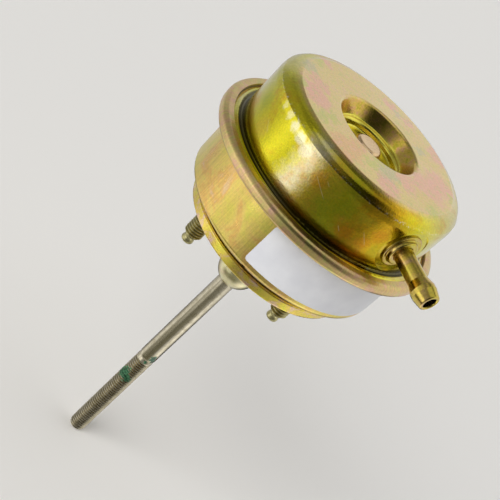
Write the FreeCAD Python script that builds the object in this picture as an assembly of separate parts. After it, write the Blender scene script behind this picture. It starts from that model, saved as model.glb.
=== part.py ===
import FreeCAD, Part

import math
import os

# A diaphragm actuator that opens a turbo's wastegate. Air through the nipple presses on a rolling
# diaphragm, which pushes the piston, the rod and the coil spring down. The origin is the centre of the
# mounting face, under the base plate. The axis is +Z: the cap is on top, the studs and the rod point down.
# Lengths are in millimetres, angles in degrees, counted from +X towards +Y.

os.makedirs("parts", exist_ok=True)

# Driving dimensions: pressed sheet and rubber
SHEET = 0.9
RUBBER = 0.76
FIT_GAP = 0.05
RUN_GAP = 0.05
STOP_GAP = 0.3

# Driving dimensions: base plate
PLATE_R = 27.8
PLATE_THICK = 3.1
PLATE_ROUND = 0.55

# Driving dimensions: spring can, a stepped cup with its rim folded over the cap's flange
CAN_R = 32.4
CAN_STEP_R = 28.4
CAN_STEP_HEIGHT = 3.15
CAN_STEP_ROUND = 2.4
CAN_WALL_HEIGHT = 17.7
CAN_CORNER = 1.5
FLANGE_R = 37.5
LIP_INNER_R = 34.6
LIP_ROUND = 1.45

# Driving dimensions: breather holes in the can's step
BREATHER_R = 0.8
BREATHER_COUNT = 3
BREATHER_ANGLE = -90.0

# Driving dimensions: pressure cap with a stepped well in its top
CAP_R = 31.5
CAP_HEIGHT = 20.0
CREASE_DEPTH = 2.6
CREASE_INSET = 0.3
CROWN_DEPTH = 0.96
CROWN_INSET = 1.7
TOP_INSET = 4.6
RIDGE_R = 33.1
RIDGE_HEIGHT = 0.65
WELL_RIM_R = 13.4
WELL_LEDGE_R = 11.2
WELL_LEDGE_DEPTH = 4.4
WELL_FLOOR_R = 9.6
WELL_DEPTH = 6.4
BUTTON_R = 4.0
BUTTON_FOOT_R = 4.9
BUTTON_DEPTH = 3.6

# Driving dimensions: hose nipple and the flat pressed into the cap for it
NIPPLE_ANGLE = -36.1
NIPPLE_HEIGHT = 9.4
NIPPLE_TUBE_R = 2.65
NIPPLE_BORE_R = 1.8
NIPPLE_LENGTH = 16.7
BARB_R = 3.35
BARB_LENGTH = 6.7
BARB_LAND = 1.3
PAD_R = 7.4
COLLAR_R = 5.7
COLLAR_THICK = 1.5

# Driving dimensions: studs
STUD_R = 3.0
STUD_LENGTH = 19.5
STUD_CIRCLE_R = 17.1
STUD_ANGLE = 6.9
STUD_HEAD_R = 4.6
STUD_HEAD_THICK = 1.4
STUD_NECK_R = 3.3
DOG_R = 2.0
DOG_LENGTH = 2.4

# Driving dimensions: guide hub, its bush and its wiper
HUB_R = 6.5
HUB_SHEET = 1.0
HUB_LENGTH = 20.4
HUB_FLANGE_R = 9.0
BUSH_FLANGE_R = 7.8
BUSH_FLANGE_THICK = 1.0
WIPER_THICK = 2.8
WIPER_GAP = 0.1

# Driving dimensions: rod
ROD_R = 2.95
ROD_TIP = 103.5
ROD_TIP_CHAMFER = 0.9
THREAD_LENGTH = 41.0
THREAD_SINK = 0.06
SPIGOT_R = 2.1
RIVET_R = 3.0
RIVET_HEIGHT = 1.6

# Driving dimensions: piston, spring and stops
STROKE = 12.0
PISTON_R = 26.0
PISTON_SHEET = 1.2
PISTON_ROUND = 3.0
PISTON_SKIRT = 13.5
RETAINER_R = 22.5
RETAINER_THICK = 1.5
BUMPER_R = 8.0
BUMPER_WIDTH = 3.0
BUMPER_THICK = 1.0
WASHER_R = 7.0
WASHER_THICK = 1.5
SLEEVE_R = 4.6
FOLD_DEPTH = 5.9
SPRING_R = 21.4
SPRING_WIRE_R = 1.6
SPRING_TURNS = 5
SEAT_THICK = 0.8
SEAT_LIP = 3.5
SEAT_EDGE_R = 24.6

# Driving dimensions: label on the can's wall
LABEL_START = -92.5
LABEL_SWEEP = 112.0
LABEL_BOTTOM = 2.4
LABEL_HEIGHT = 13.3
LABEL_THICK = 0.12
LABEL_CORNER = 1.0

# Heights worked out from the driving dimensions
can_floor = PLATE_THICK + SHEET
shoulder_z = PLATE_THICK + CAN_STEP_HEIGHT
rim_z = shoulder_z + CAN_WALL_HEIGHT
edge_z = rim_z + SHEET
cap_flange_z = edge_z + RUBBER
cap_flange_top = cap_flange_z + SHEET
lip_top = cap_flange_top + SHEET
cap_top = cap_flange_z + CAP_HEIGHT
well_stop_z = cap_top - WELL_DEPTH - SHEET
retainer_top = well_stop_z - STOP_GAP - BUMPER_THICK
crown_top = retainer_top - RETAINER_THICK - RUBBER
crown_under = crown_top - PISTON_SHEET
washer_under = crown_under - WASHER_THICK
seat_top = can_floor + SEAT_THICK
bush_top = can_floor + BUSH_FLANGE_THICK
bush_bottom = HUB_R - HUB_LENGTH + WIPER_GAP + WIPER_THICK
edge_r = FLANGE_R - LIP_ROUND - FIT_GAP
hub_flange_z = PLATE_THICK - HUB_SHEET
hub_bore_r = HUB_R - HUB_SHEET
nipple_z = cap_flange_z + NIPPLE_HEIGHT
pad_depth_r = math.sqrt(CAP_R ** 2 - PAD_R ** 2)


def point(radius, height):
    """A point in the half-plane that is turned about the axis."""
    return FreeCAD.Vector(radius, 0, height)


def rounded_edges(corners):
    """Lines through corners given as (radius, height, round), with an arc at each rounded corner."""
    edges = []
    last = point(*corners[0][:2])
    for before, corner, after in zip(corners, corners[1:], corners[2:]):
        here = point(*corner[:2])
        back = (point(*before[:2]) - here).normalize()
        on = (point(*after[:2]) - here).normalize()
        half = back.getAngle(on) / 2
        if corner[2] > 0:
            reach = corner[2] / math.tan(half)
            middle = (back + on).normalize()
            start = here + back * reach
            end = here + on * reach
            top = here + middle * (corner[2] / math.sin(half) - corner[2])
            if last.distanceToPoint(start) > 1e-6:
                edges.append(Part.makeLine(last, start))
            edges.append(Part.Arc(start, top, end).toShape())
            last = end
        else:
            edges.append(Part.makeLine(last, here))
            last = here
    end = point(*corners[-1][:2])
    if last.distanceToPoint(end) > 1e-6:
        edges.append(Part.makeLine(last, end))
    return edges


def turned(corners):
    """A solid turned from a closed outline of (radius, height, round) corners."""
    edges = rounded_edges(corners + [corners[0]])
    face = Part.Face(Part.Wire(edges))
    return face.revolve(FreeCAD.Vector(0, 0, 0), FreeCAD.Vector(0, 0, 1), 360)


def moved_left(corners, thick):
    """The same path, moved left of its direction by the sheet's thickness, rounds kept concentric."""
    flat = [FreeCAD.Vector(c[0], c[1], 0) for c in corners]
    ways = [(b - a).normalize() for a, b in zip(flat, flat[1:])]
    sides = [FreeCAD.Vector(-w.y, w.x, 0) * thick for w in ways]
    moved = [(flat[0].x + sides[0].x, flat[0].y + sides[0].y, 0)]
    for i in range(1, len(flat) - 1):
        turn = ways[i - 1].x * ways[i].y - ways[i - 1].y * ways[i].x
        start = flat[i] + sides[i - 1]
        gap = flat[i] + sides[i] - start
        along = (gap.x * ways[i].y - gap.y * ways[i].x) / turn
        spot = start + ways[i - 1] * along
        bend = corners[i][2] - thick if turn > 0 else corners[i][2] + thick
        moved.append((spot.x, spot.y, max(bend, 0)))
    moved.append((flat[-1].x + sides[-1].x, flat[-1].y + sides[-1].y, 0))
    return moved


def pressed(corners, thick):
    """A sheet part turned from the path of one surface, with its thickness to the path's left."""
    there = rounded_edges(corners)
    back = rounded_edges(moved_left(corners, thick)[::-1])
    over = Part.makeLine(far_end(there), near_end(back))
    home = Part.makeLine(far_end(back), near_end(there))
    face = Part.Face(Part.Wire(there + [over] + back + [home]))
    return face.revolve(FreeCAD.Vector(0, 0, 0), FreeCAD.Vector(0, 0, 1), 360)


def near_end(edges):
    """The first point of a run of edges."""
    return edges[0].valueAt(edges[0].FirstParameter)


def far_end(edges):
    """The last point of a run of edges."""
    return edges[-1].valueAt(edges[-1].LastParameter)


def rod_of(radius, bottom, top):
    """A plain round bar on the axis."""
    return Part.makeCylinder(radius, top - bottom, FreeCAD.Vector(0, 0, bottom))


def on_radius(shape, angle, height):
    """A shape built on +Z from the axis, laid over so that it points outwards at an angle and height."""
    shape.rotate(FreeCAD.Vector(0, 0, 0), FreeCAD.Vector(0, 1, 0), 90)
    shape.rotate(FreeCAD.Vector(0, 0, 0), FreeCAD.Vector(0, 0, 1), angle)
    shape.translate(FreeCAD.Vector(0, 0, height))
    return shape


def make_base_plate():
    """The thick disc that carries the studs, with a bore for the hub and recesses under the can."""
    plate = turned([
        (HUB_R + FIT_GAP, PLATE_THICK / 3, 0),
        (HUB_R + FIT_GAP, 0, 0.4),
        (PLATE_R, 0, PLATE_ROUND),
        (PLATE_R, PLATE_THICK, PLATE_ROUND),
        (HUB_FLANGE_R + FIT_GAP, PLATE_THICK, 0),
        (HUB_FLANGE_R + FIT_GAP, hub_flange_z, 0),
        (HUB_R + FIT_GAP, hub_flange_z, 0.7),
    ])
    for turn in (0, 180):
        hole = rod_of(STUD_NECK_R + FIT_GAP, -1, PLATE_THICK + 1)
        hole = hole.fuse(rod_of(STUD_HEAD_R + FIT_GAP, PLATE_THICK - STUD_HEAD_THICK, PLATE_THICK + 1))
        plate = plate.cut(at_stud(hole, turn))
    return plate


def at_stud(shape, turn):
    """A shape on the axis, moved to one of the two stud places."""
    angle = math.radians(STUD_ANGLE + turn)
    shape.translate(FreeCAD.Vector(STUD_CIRCLE_R * math.cos(angle), STUD_CIRCLE_R * math.sin(angle), 0))
    return shape


def make_stud(turn):
    """A clinch stud: a flat head and a neck let into the plate, a threaded shank and a dog point."""
    tip = -STUD_LENGTH
    stud = turned([
        (0, PLATE_THICK, 0),
        (0, tip, 0),
        (DOG_R, tip, 0.8),
        (DOG_R, tip + DOG_LENGTH, 0.3),
        (STUD_R, tip + DOG_LENGTH + 1.3 * (STUD_R - DOG_R), 0.2),
        (STUD_R, 0, 0),
        (STUD_NECK_R, 0, 0),
        (STUD_NECK_R, PLATE_THICK - STUD_HEAD_THICK, 0),
        (STUD_HEAD_R, PLATE_THICK - STUD_HEAD_THICK, 0),
        (STUD_HEAD_R, PLATE_THICK, 0.2),
    ])
    return at_stud(stud, turn)


def make_spring_can():
    """The lower can: a drawn cup with a stepped floor, a flat rim and a lip folded in over the cap."""
    can = pressed([
        (hub_bore_r + FIT_GAP, PLATE_THICK, 0),
        (CAN_STEP_R, PLATE_THICK, CAN_STEP_ROUND),
        (CAN_STEP_R, shoulder_z, 0.6),
        (CAN_R, shoulder_z, CAN_CORNER),
        (CAN_R, rim_z, 0.8),
        (FLANGE_R, rim_z, 1.0),
        (FLANGE_R, lip_top, LIP_ROUND),
        (LIP_INNER_R, lip_top, 0),
    ], SHEET)
    step_middle = PLATE_THICK + 0.45 * CAN_STEP_HEIGHT
    inside_r = CAN_STEP_R - CAN_STEP_ROUND + 0.3
    for i in range(BREATHER_COUNT):
        hole = Part.makeCylinder(BREATHER_R, CAN_R - inside_r, FreeCAD.Vector(0, 0, inside_r))
        can = can.cut(on_radius(hole, BREATHER_ANGLE + i * 360 / BREATHER_COUNT, step_middle))
    return can


def make_pressure_cap():
    """The upper cap: flange with a ridge, wall, creased corner, stepped well with a centre button."""
    ledge = cap_top - WELL_LEDGE_DEPTH
    floor = cap_top - WELL_DEPTH
    cap = pressed([
        (edge_r, cap_flange_top, 0),
        (RIDGE_R + 1.2, cap_flange_top, 0.5),
        (RIDGE_R, cap_flange_top + RIDGE_HEIGHT, SHEET + 0.2),
        (CAP_R, cap_flange_top - 0.1, 0.5),
        (CAP_R, cap_top - 1.7 * CREASE_DEPTH, 4.0),
        (CAP_R - CREASE_INSET, cap_top - CREASE_DEPTH, SHEET + 0.1),
        (CAP_R - CROWN_INSET, cap_top - CROWN_DEPTH, 3.0),
        (CAP_R - TOP_INSET, cap_top, SHEET + 0.2),
        (WELL_RIM_R, cap_top, SHEET + 0.4),
        (WELL_LEDGE_R, ledge, 0.5),
        (WELL_FLOOR_R + 0.3, ledge, SHEET + 0.1),
        (WELL_FLOOR_R, floor, 0.6),
        (BUTTON_FOOT_R, floor, 0.7),
        (BUTTON_R, cap_top - BUTTON_DEPTH, SHEET + 0.3),
        (0, cap_top - BUTTON_DEPTH, 0),
    ], SHEET)
    flat = Part.makeCylinder(PAD_R, CAP_R, FreeCAD.Vector(0, 0, pad_depth_r))
    flat = on_radius(flat, NIPPLE_ANGLE, nipple_z)
    backing = Part.makeCylinder(PAD_R + 0.3 * SHEET, SHEET, FreeCAD.Vector(0, 0, pad_depth_r - SHEET))
    backing = on_radius(backing, NIPPLE_ANGLE, nipple_z)
    within = rod_of(CAP_R - SHEET / 2, cap_flange_top, cap_top - SHEET)
    cap = cap.cut(flat).fuse(backing.common(within)).removeSplitter()
    bore = Part.makeCylinder(NIPPLE_TUBE_R + FIT_GAP, CAP_R, FreeCAD.Vector(0, 0, CAP_R / 2))
    return cap.cut(on_radius(bore, NIPPLE_ANGLE, nipple_z))


def make_hose_nipple():
    """The tube through the cap's flat, with one barb near its mouth: a flare, a land and a nose."""
    root = pad_depth_r - SHEET
    mouth = pad_depth_r + NIPPLE_LENGTH
    barb = mouth - BARB_LENGTH
    tube = turned([
        (NIPPLE_BORE_R, root, 0),
        (NIPPLE_TUBE_R, root, 0),
        (NIPPLE_TUBE_R, barb, 0.8),
        (BARB_R, barb + 0.38 * BARB_LENGTH, 0.3),
        (BARB_R, barb + 0.38 * BARB_LENGTH + BARB_LAND, 0.3),
        (BARB_R - 0.3, barb + 0.78 * BARB_LENGTH, 0.5),
        (BARB_R - 0.65, mouth, 0.45),
        (NIPPLE_BORE_R, mouth, 0.3),
    ])
    return on_radius(tube, NIPPLE_ANGLE, nipple_z)


def make_nipple_collar():
    """The brazed washer at the nipple's foot: a thin outer ring and a raised, rounded neck."""
    collar = turned([
        (NIPPLE_TUBE_R + FIT_GAP, pad_depth_r, 0),
        (COLLAR_R, pad_depth_r, 0),
        (COLLAR_R, pad_depth_r + 0.45 * COLLAR_THICK, 0.35),
        (0.76 * COLLAR_R, pad_depth_r + 0.3 * COLLAR_THICK, 0.3),
        (0.72 * COLLAR_R, pad_depth_r + COLLAR_THICK, 0.5),
        (NIPPLE_TUBE_R + FIT_GAP, pad_depth_r + COLLAR_THICK, 0.2),
    ])
    return on_radius(collar, NIPPLE_ANGLE, nipple_z)


def make_guide_hub():
    """The drawn tube that guides the rod, with a domed end and a flange held under the can."""
    hub = pressed([
        (0, -HUB_LENGTH, 0),
        (HUB_R, -HUB_LENGTH, HUB_R),
        (HUB_R, hub_flange_z, 0.6),
        (HUB_FLANGE_R, hub_flange_z, 0),
    ], HUB_SHEET)
    return hub.cut(rod_of(ROD_R + 4 * RUN_GAP, -HUB_LENGTH - 1, -HUB_LENGTH + HUB_R))


def make_guide_bush():
    """The plain bearing in the hub, with a flange on the can's floor."""
    return turned([
        (ROD_R + RUN_GAP, can_floor, 0),
        (ROD_R + RUN_GAP, bush_bottom, 0.3),
        (hub_bore_r - FIT_GAP, bush_bottom, 0.3),
        (hub_bore_r - FIT_GAP, can_floor, 0),
        (BUSH_FLANGE_R, can_floor, 0.2),
        (BUSH_FLANGE_R, bush_top, 0.3),
        (ROD_R + RUN_GAP, bush_top, 0.3),
    ])


def make_rod_wiper():
    """The soft ring below the bush that keeps dirt off the bearing."""
    return turned([
        (ROD_R + WIPER_GAP, bush_bottom - WIPER_THICK, 0),
        (hub_bore_r - FIT_GAP, bush_bottom - WIPER_THICK, 0.4),
        (hub_bore_r - FIT_GAP, bush_bottom, 0),
        (ROD_R + WIPER_GAP, bush_bottom, 0),
    ])


def make_spring_seat():
    """The ring that keeps the spring's foot centred on the can's floor."""
    inner = SPRING_R - SPRING_WIRE_R - 0.5 - SEAT_THICK
    return pressed([
        (inner, seat_top + SEAT_LIP, 0),
        (inner, can_floor, SEAT_THICK + 0.3),
        (SEAT_EDGE_R, can_floor, 0),
    ], SEAT_THICK)


def spring_height(turn, turns, free):
    """Height of the wire's middle after a number of turns: one closed turn at each end."""
    wire = 2 * SPRING_WIRE_R + 0.15
    open_turns = turns - 2
    if turn <= 1:
        return wire * turn
    if turn >= turns - 1:
        return free - wire * (turns - turn)
    part = (turn - 1) / open_turns
    eased = part - math.sin(2 * math.pi * part) / (2 * math.pi) * 0.35
    return wire + (free - 2 * wire) * eased


def make_return_spring():
    """A coil spring with closed ends, ground flat to stand on the seat and under the crown."""
    grind = 0.75 * SPRING_WIRE_R
    foot = seat_top - grind + SPRING_WIRE_R
    height = crown_under + grind - SPRING_WIRE_R - foot
    steps = 12 * SPRING_TURNS
    spots = []
    for i in range(steps + 1):
        turn = SPRING_TURNS * i / steps
        angle = 2 * math.pi * turn
        lift = foot + spring_height(turn, SPRING_TURNS, height)
        spots.append(FreeCAD.Vector(SPRING_R * math.cos(angle), SPRING_R * math.sin(angle), lift))
    line = Part.BSplineCurve()
    line.interpolate(spots)
    path = Part.Wire(line.toShape())
    wire = Part.Wire(Part.makeCircle(SPRING_WIRE_R, spots[0], spots[1] - spots[0]))
    sweep = Part.BRepOffsetAPI.MakePipeShell(path)
    sweep.setFrenetMode(True)
    sweep.add(wire)
    sweep.build()
    sweep.makeSolid()
    slab = rod_of(SPRING_R + 3 * SPRING_WIRE_R, seat_top, crown_under)
    return sweep.shape().common(slab)


def make_diaphragm():
    """The rolling diaphragm: clamped edge, one deep fold between can and piston, and the crown."""
    fold_in = PISTON_R + FIT_GAP
    fold_out = CAN_R - SHEET - 0.2
    fold_round = (fold_out - fold_in) / 2 - 0.01
    return pressed([
        (SPIGOT_R + FIT_GAP, crown_top, 0),
        (fold_in, crown_top, PISTON_ROUND + FIT_GAP),
        (fold_in, edge_z - FOLD_DEPTH, fold_round),
        (fold_out, edge_z - FOLD_DEPTH, fold_round),
        (fold_out, edge_z, SHEET + 1.0),
        (edge_r - FIT_GAP, edge_z, 0),
    ], RUBBER)


def make_piston_cup():
    """The upturned cup that the diaphragm rolls on, pushed up by the spring."""
    return pressed([
        (PISTON_R, crown_top - PISTON_SKIRT, 0),
        (PISTON_R, crown_top, PISTON_ROUND),
        (SPIGOT_R + FIT_GAP, crown_top, 0),
    ], PISTON_SHEET)


def make_stop_bumper():
    """The rubber ring on the retainer that meets the underside of the cap's well at rest."""
    return turned([
        (BUMPER_R - BUMPER_WIDTH, retainer_top, 0),
        (BUMPER_R, retainer_top, 0),
        (BUMPER_R, retainer_top + BUMPER_THICK, 0.3),
        (BUMPER_R - BUMPER_WIDTH, retainer_top + BUMPER_THICK, 0.3),
    ])


def make_diaphragm_retainer():
    """The disc that clamps the diaphragm on the crown, with rounded edges."""
    under = crown_top + RUBBER
    return turned([
        (SPIGOT_R + FIT_GAP, under, 0),
        (RETAINER_R, under, 0.4),
        (RETAINER_R, retainer_top, 0.7),
        (SPIGOT_R + FIT_GAP, retainer_top, 0),
    ])


def make_piston_washer():
    """The thick washer between the rod's shoulder and the piston's crown."""
    return turned([
        (SPIGOT_R + FIT_GAP, washer_under, 0),
        (WASHER_R, washer_under, 0.3),
        (WASHER_R, crown_under, 0.3),
        (SPIGOT_R + FIT_GAP, crown_under, 0),
    ])


def make_stop_sleeve():
    """The tube on the rod that meets the bush at full stroke."""
    foot = bush_top + STROKE + STOP_GAP
    return turned([
        (ROD_R + FIT_GAP, foot, 0.2),
        (SLEEVE_R, foot, 0.3),
        (SLEEVE_R, washer_under, 0.2),
        (ROD_R + FIT_GAP, washer_under, 0),
    ])


def make_actuator_rod():
    """The rod: threaded end with a chamfered tip, shank, and a spigot riveted over the retainer."""
    thread_r = ROD_R - THREAD_SINK
    thread_end = -ROD_TIP + THREAD_LENGTH
    return turned([
        (0, -ROD_TIP, 0),
        (ROD_R - ROD_TIP_CHAMFER, -ROD_TIP, 0.5),
        (thread_r, -ROD_TIP + ROD_TIP_CHAMFER, 0.3),
        (thread_r, thread_end, 0),
        (ROD_R, thread_end + 0.5, 0),
        (ROD_R, washer_under, 0),
        (SPIGOT_R, washer_under, 0),
        (SPIGOT_R, retainer_top, 0),
        (RIVET_R, retainer_top, 0.2),
        (RIVET_R - 0.6, retainer_top + RIVET_HEIGHT, 0.6),
        (0, retainer_top + RIVET_HEIGHT, 0),
    ])


def make_label():
    """The thin sticker wrapped round part of the can's wall, with rounded corners."""
    foot = shoulder_z + LABEL_BOTTOM
    edges = rounded_edges([
        (CAN_R, foot, 0),
        (CAN_R + LABEL_THICK, foot, 0),
        (CAN_R + LABEL_THICK, foot + LABEL_HEIGHT, 0),
        (CAN_R, foot + LABEL_HEIGHT, 0),
        (CAN_R, foot, 0),
    ])
    axis = FreeCAD.Vector(0, 0, 1)
    strip = Part.Face(Part.Wire(edges)).revolve(FreeCAD.Vector(0, 0, 0), axis, LABEL_SWEEP)
    strip.rotate(FreeCAD.Vector(0, 0, 0), axis, LABEL_START)
    corners = [edge for edge in strip.Edges if abs(edge.Length - LABEL_THICK) < 1e-6]
    return strip.makeFillet(LABEL_CORNER, corners)


def export(name, shape):
    """Writes one sub-part."""
    shape.exportStep("parts/" + name + ".step")


def main():
    """Makes every sub-part and writes it."""
    export("base_plate", make_base_plate())
    export("stud_left", make_stud(180))
    export("stud_right", make_stud(0))
    export("spring_can", make_spring_can())
    export("pressure_cap", make_pressure_cap())
    export("hose_nipple", make_hose_nipple())
    export("nipple_collar", make_nipple_collar())
    export("guide_hub", make_guide_hub())
    export("guide_bush", make_guide_bush())
    export("rod_wiper", make_rod_wiper())
    export("spring_seat", make_spring_seat())
    export("return_spring", make_return_spring())
    export("diaphragm", make_diaphragm())
    export("piston_cup", make_piston_cup())
    export("diaphragm_retainer", make_diaphragm_retainer())
    export("stop_bumper", make_stop_bumper())
    export("piston_washer", make_piston_washer())
    export("stop_sleeve", make_stop_sleeve())
    export("actuator_rod", make_actuator_rod())
    export("label", make_label())


main()
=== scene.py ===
# %% [markdown]
# # A turbo wastegate actuator, dressed in Blender
# The part is a drawn steel can with a folded rim, a cap with a well in its top, two studs and a long
# threaded rod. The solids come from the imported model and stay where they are. This notebook gives them
# their finish, builds the threads, and sets up a small photo studio. Lengths are in metres here, so a
# millimetre is written as MM.

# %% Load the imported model
import bpy
import math
import numpy as np
from mathutils import Matrix, Vector


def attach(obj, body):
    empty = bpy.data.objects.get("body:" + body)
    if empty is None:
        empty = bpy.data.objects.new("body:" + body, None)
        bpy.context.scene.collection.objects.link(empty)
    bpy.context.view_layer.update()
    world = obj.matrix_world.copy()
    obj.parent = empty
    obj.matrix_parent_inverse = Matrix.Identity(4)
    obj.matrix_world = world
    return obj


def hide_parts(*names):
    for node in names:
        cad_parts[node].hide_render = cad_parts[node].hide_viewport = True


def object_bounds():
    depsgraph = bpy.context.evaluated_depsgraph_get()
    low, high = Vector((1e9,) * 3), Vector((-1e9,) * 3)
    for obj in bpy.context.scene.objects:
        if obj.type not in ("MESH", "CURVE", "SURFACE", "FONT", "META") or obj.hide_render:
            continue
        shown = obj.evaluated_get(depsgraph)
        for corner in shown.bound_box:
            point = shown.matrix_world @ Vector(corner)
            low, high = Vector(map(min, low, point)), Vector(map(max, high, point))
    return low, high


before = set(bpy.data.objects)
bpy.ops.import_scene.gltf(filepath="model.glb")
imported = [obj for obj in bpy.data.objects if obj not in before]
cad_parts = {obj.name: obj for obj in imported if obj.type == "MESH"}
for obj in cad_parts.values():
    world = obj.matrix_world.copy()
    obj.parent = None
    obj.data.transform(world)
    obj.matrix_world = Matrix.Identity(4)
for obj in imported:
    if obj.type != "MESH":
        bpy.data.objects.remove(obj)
cad_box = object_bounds()
MM = 0.001
print("CAD box:", [list(corner) for corner in cad_box])

# %% [markdown]
# ## Colour
# Finishes are written as the hex colours an eye would name on a screen. Blender mixes light in linear
# values, so one function turns a hex colour into a linear one.


# %% From hex to linear
def hue(code, strength=1.0):
    """Linear RGBA of an sRGB hex colour: c/12.92 below 0.04045, else ((c+0.055)/1.055)^2.4."""
    c = np.array([int(code[i:i + 2], 16) for i in (1, 3, 5)]) / 255.0
    linear = np.where(c <= 0.04045, c / 12.92, ((c + 0.055) / 1.055) ** 2.4) * strength
    return (*linear.tolist(), 1.0)


print("mid grey #808080 is", [round(v, 3) for v in hue("#808080")])

# %% [markdown]
# ## Helpers for nodes
# A finish is a small graph. Adding a node by hand takes a line for each setting and each link, so one
# function does it: values go to the inputs, and a value that is another node's output becomes a link. Five
# short ones on top of it name the steps that come again and again.


# %% Adding a node
def add(tree, kind, inputs=None, stops=None, **settings):
    """Adds a shader node. inputs maps a socket's name or number to a value or to another node's output;
    stops is a list of (place, colour) for a colour ramp."""
    made = tree.nodes.new("ShaderNode" + kind)
    for key, value in settings.items():
        setattr(made, key, value)
    for key, value in (inputs or {}).items():
        if isinstance(value, bpy.types.NodeSocket):
            tree.links.new(value, made.inputs[key])
        else:
            made.inputs[key].default_value = value
    if stops:
        ramp = made.color_ramp.elements
        while len(ramp) < len(stops):
            ramp.new(1.0)
        for element, (place, colour) in zip(ramp, stops):
            element.position = place
            element.color = colour
    return made


def mix(tree, share, first, second, **settings):
    """Colour first * (1 - share) + second * share."""
    return add(tree, "Mix", {0: share, 6: first, 7: second}, data_type="RGBA", **settings).outputs[2]


def spread(tree, value, start, end, low=0.0, high=1.0, **settings):
    """Low at start, high at end, and held beyond both; a straight line between, unless settings ease it."""
    return add(tree, "MapRange", {0: value, 1: start, 2: end, 3: low, 4: high}, **settings).outputs[0]


def maths(tree, operation, *values, **settings):
    """One step of arithmetic, such as ADD or MAXIMUM."""
    return add(tree, "Math", dict(enumerate(values)), operation=operation, **settings).outputs[0]


def vectors(tree, operation, *values):
    """One step of vector arithmetic; a distance, a length or a dot product is a number."""
    made = add(tree, "VectorMath", dict(enumerate(values)), operation=operation)
    return made.outputs["Value" if operation in ("DISTANCE", "LENGTH", "DOT_PRODUCT") else 0]


def noise(tree, place, size, detail, roughness=0.5, distortion=0.0):
    """A noise with 1000 / size spots to a unit of place: about size mm each where place is in metres."""
    return add(tree, "TexNoise", {
        "Vector": place, "Scale": 1000 / size, "Detail": detail, "Roughness": roughness,
        "Distortion": distortion,
    })


def new_finish(name):
    """An empty material and its node tree, with the output node."""
    made = bpy.data.materials.new(name)
    made.use_nodes = True
    made.node_tree.nodes.clear()
    return made, made.node_tree, add(made.node_tree, "OutputMaterial")


print("node helpers ready")

# %% [markdown]
# ## The camera
# The photograph looks down at the cap from about 30 degrees, with the camera turned 46 degrees about
# its own axis, so the rod runs to the lower left. A camera is a point and three directions: right, up
# and back. They are worked out from those two angles and put in the columns of its matrix.

# %% Place the camera
LOOK_DOWN = math.radians(30.09)
ROLL = math.radians(46.23)
DISTANCE = 273.5 * MM
SIDE = np.array([20.79, 17.46]) * MM
TARGET = np.array([0.0, 0.0, 24.0]) * MM
FOCAL_PIXELS = 996.2
FRAME_PIXELS = 500.0
SENSOR_WIDTH = 36.0

back = np.array([0.0, -math.cos(LOOK_DOWN), math.sin(LOOK_DOWN)])
level = np.array([1.0, 0.0, 0.0])
upright = np.cross(back, level)
right = math.cos(ROLL) * level + math.sin(ROLL) * upright
up = -math.sin(ROLL) * level + math.cos(ROLL) * upright
eye = TARGET + DISTANCE * back - SIDE[0] * right - SIDE[1] * up

lens = bpy.data.cameras.new("camera")
lens.sensor_width = SENSOR_WIDTH
lens.lens = FOCAL_PIXELS / FRAME_PIXELS * SENSOR_WIDTH
lens.clip_start = 0.01
lens.clip_end = 60.0
camera = bpy.data.objects.new("camera", lens)
bpy.context.scene.collection.objects.link(camera)
directions = np.stack([right, up, back], 1)
camera.matrix_world = Matrix([[*row, place] for row, place in zip(directions, eye)] + [[0, 0, 0, 1]])
bpy.context.scene.camera = camera
bpy.context.scene.view_settings.view_transform = "Standard"
print("camera at", np.round(eye, 4), "lens", round(lens.lens, 2), "mm")

# %% [markdown]
# ## Floor and backdrop
# A pale matt floor touches the rod's tip and catches the soft shadow. Far behind it stands a pale round
# wall, so that a low view doesn't look into the dark. The wall is only a background: it shines at less
# than white and is hidden from everything but the camera, so it adds no light to the part. The floor is
# kept out of mirror rays too, because the metal shows the studio's lamps and flags instead.

# %% Build the floor and the wall
FLOOR_Z = cad_box[0][2] - 0.1 * MM
STUDIO_R = 4.0
WALL_HEIGHT = 6.0


def ring_strip(name, inner, outer, columns=96):
    """A band between two circles given as (radius, height): a grid of 2 rows, closed all round."""
    a = np.linspace(0, 2 * np.pi, columns, endpoint=False)
    rows = [np.stack([r * np.cos(a), r * np.sin(a), np.full(columns, z)], 1) for r, z in (inner, outer)]
    j = np.arange(columns)
    k = (j + 1) % columns
    quads = np.stack([j, k, k + columns, j + columns], 1)[:, ::-1]
    mesh = bpy.data.meshes.new(name)
    mesh.from_pydata(np.concatenate(rows).tolist(), [], quads.tolist())
    made = bpy.data.objects.new(name, mesh)
    bpy.context.scene.collection.objects.link(made)
    return made


floor = ring_strip("studio_floor", (1e-4, FLOOR_Z), (STUDIO_R, FLOOR_Z))
wall = ring_strip("studio_wall", (STUDIO_R, FLOOR_Z), (STUDIO_R, FLOOR_Z + WALL_HEIGHT))
print("floor at", round(FLOOR_Z / MM, 2), "mm")

# %% Their finishes
paper, tree, out = new_finish("pale_matt_paper")
shader = add(tree, "BsdfPrincipled", {
    "Base Color": hue("#F4F2EE"), "Roughness": 0.9, "Specular IOR Level": 0.2,
})
tree.links.new(shader.outputs[0], out.inputs[0])
floor.data.materials.append(paper)
floor.visible_glossy = False

backdrop, tree, out = new_finish("pale_backdrop")
glow = add(tree, "Emission", {"Color": hue("#DDDBD7"), "Strength": 1.0})
tree.links.new(glow.outputs[0], out.inputs[0])
wall.data.materials.append(backdrop)
wall.visible_glossy = False
wall.visible_diffuse = False
wall.visible_shadow = False
wall.visible_transmission = False
print("floor and wall dressed")

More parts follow.
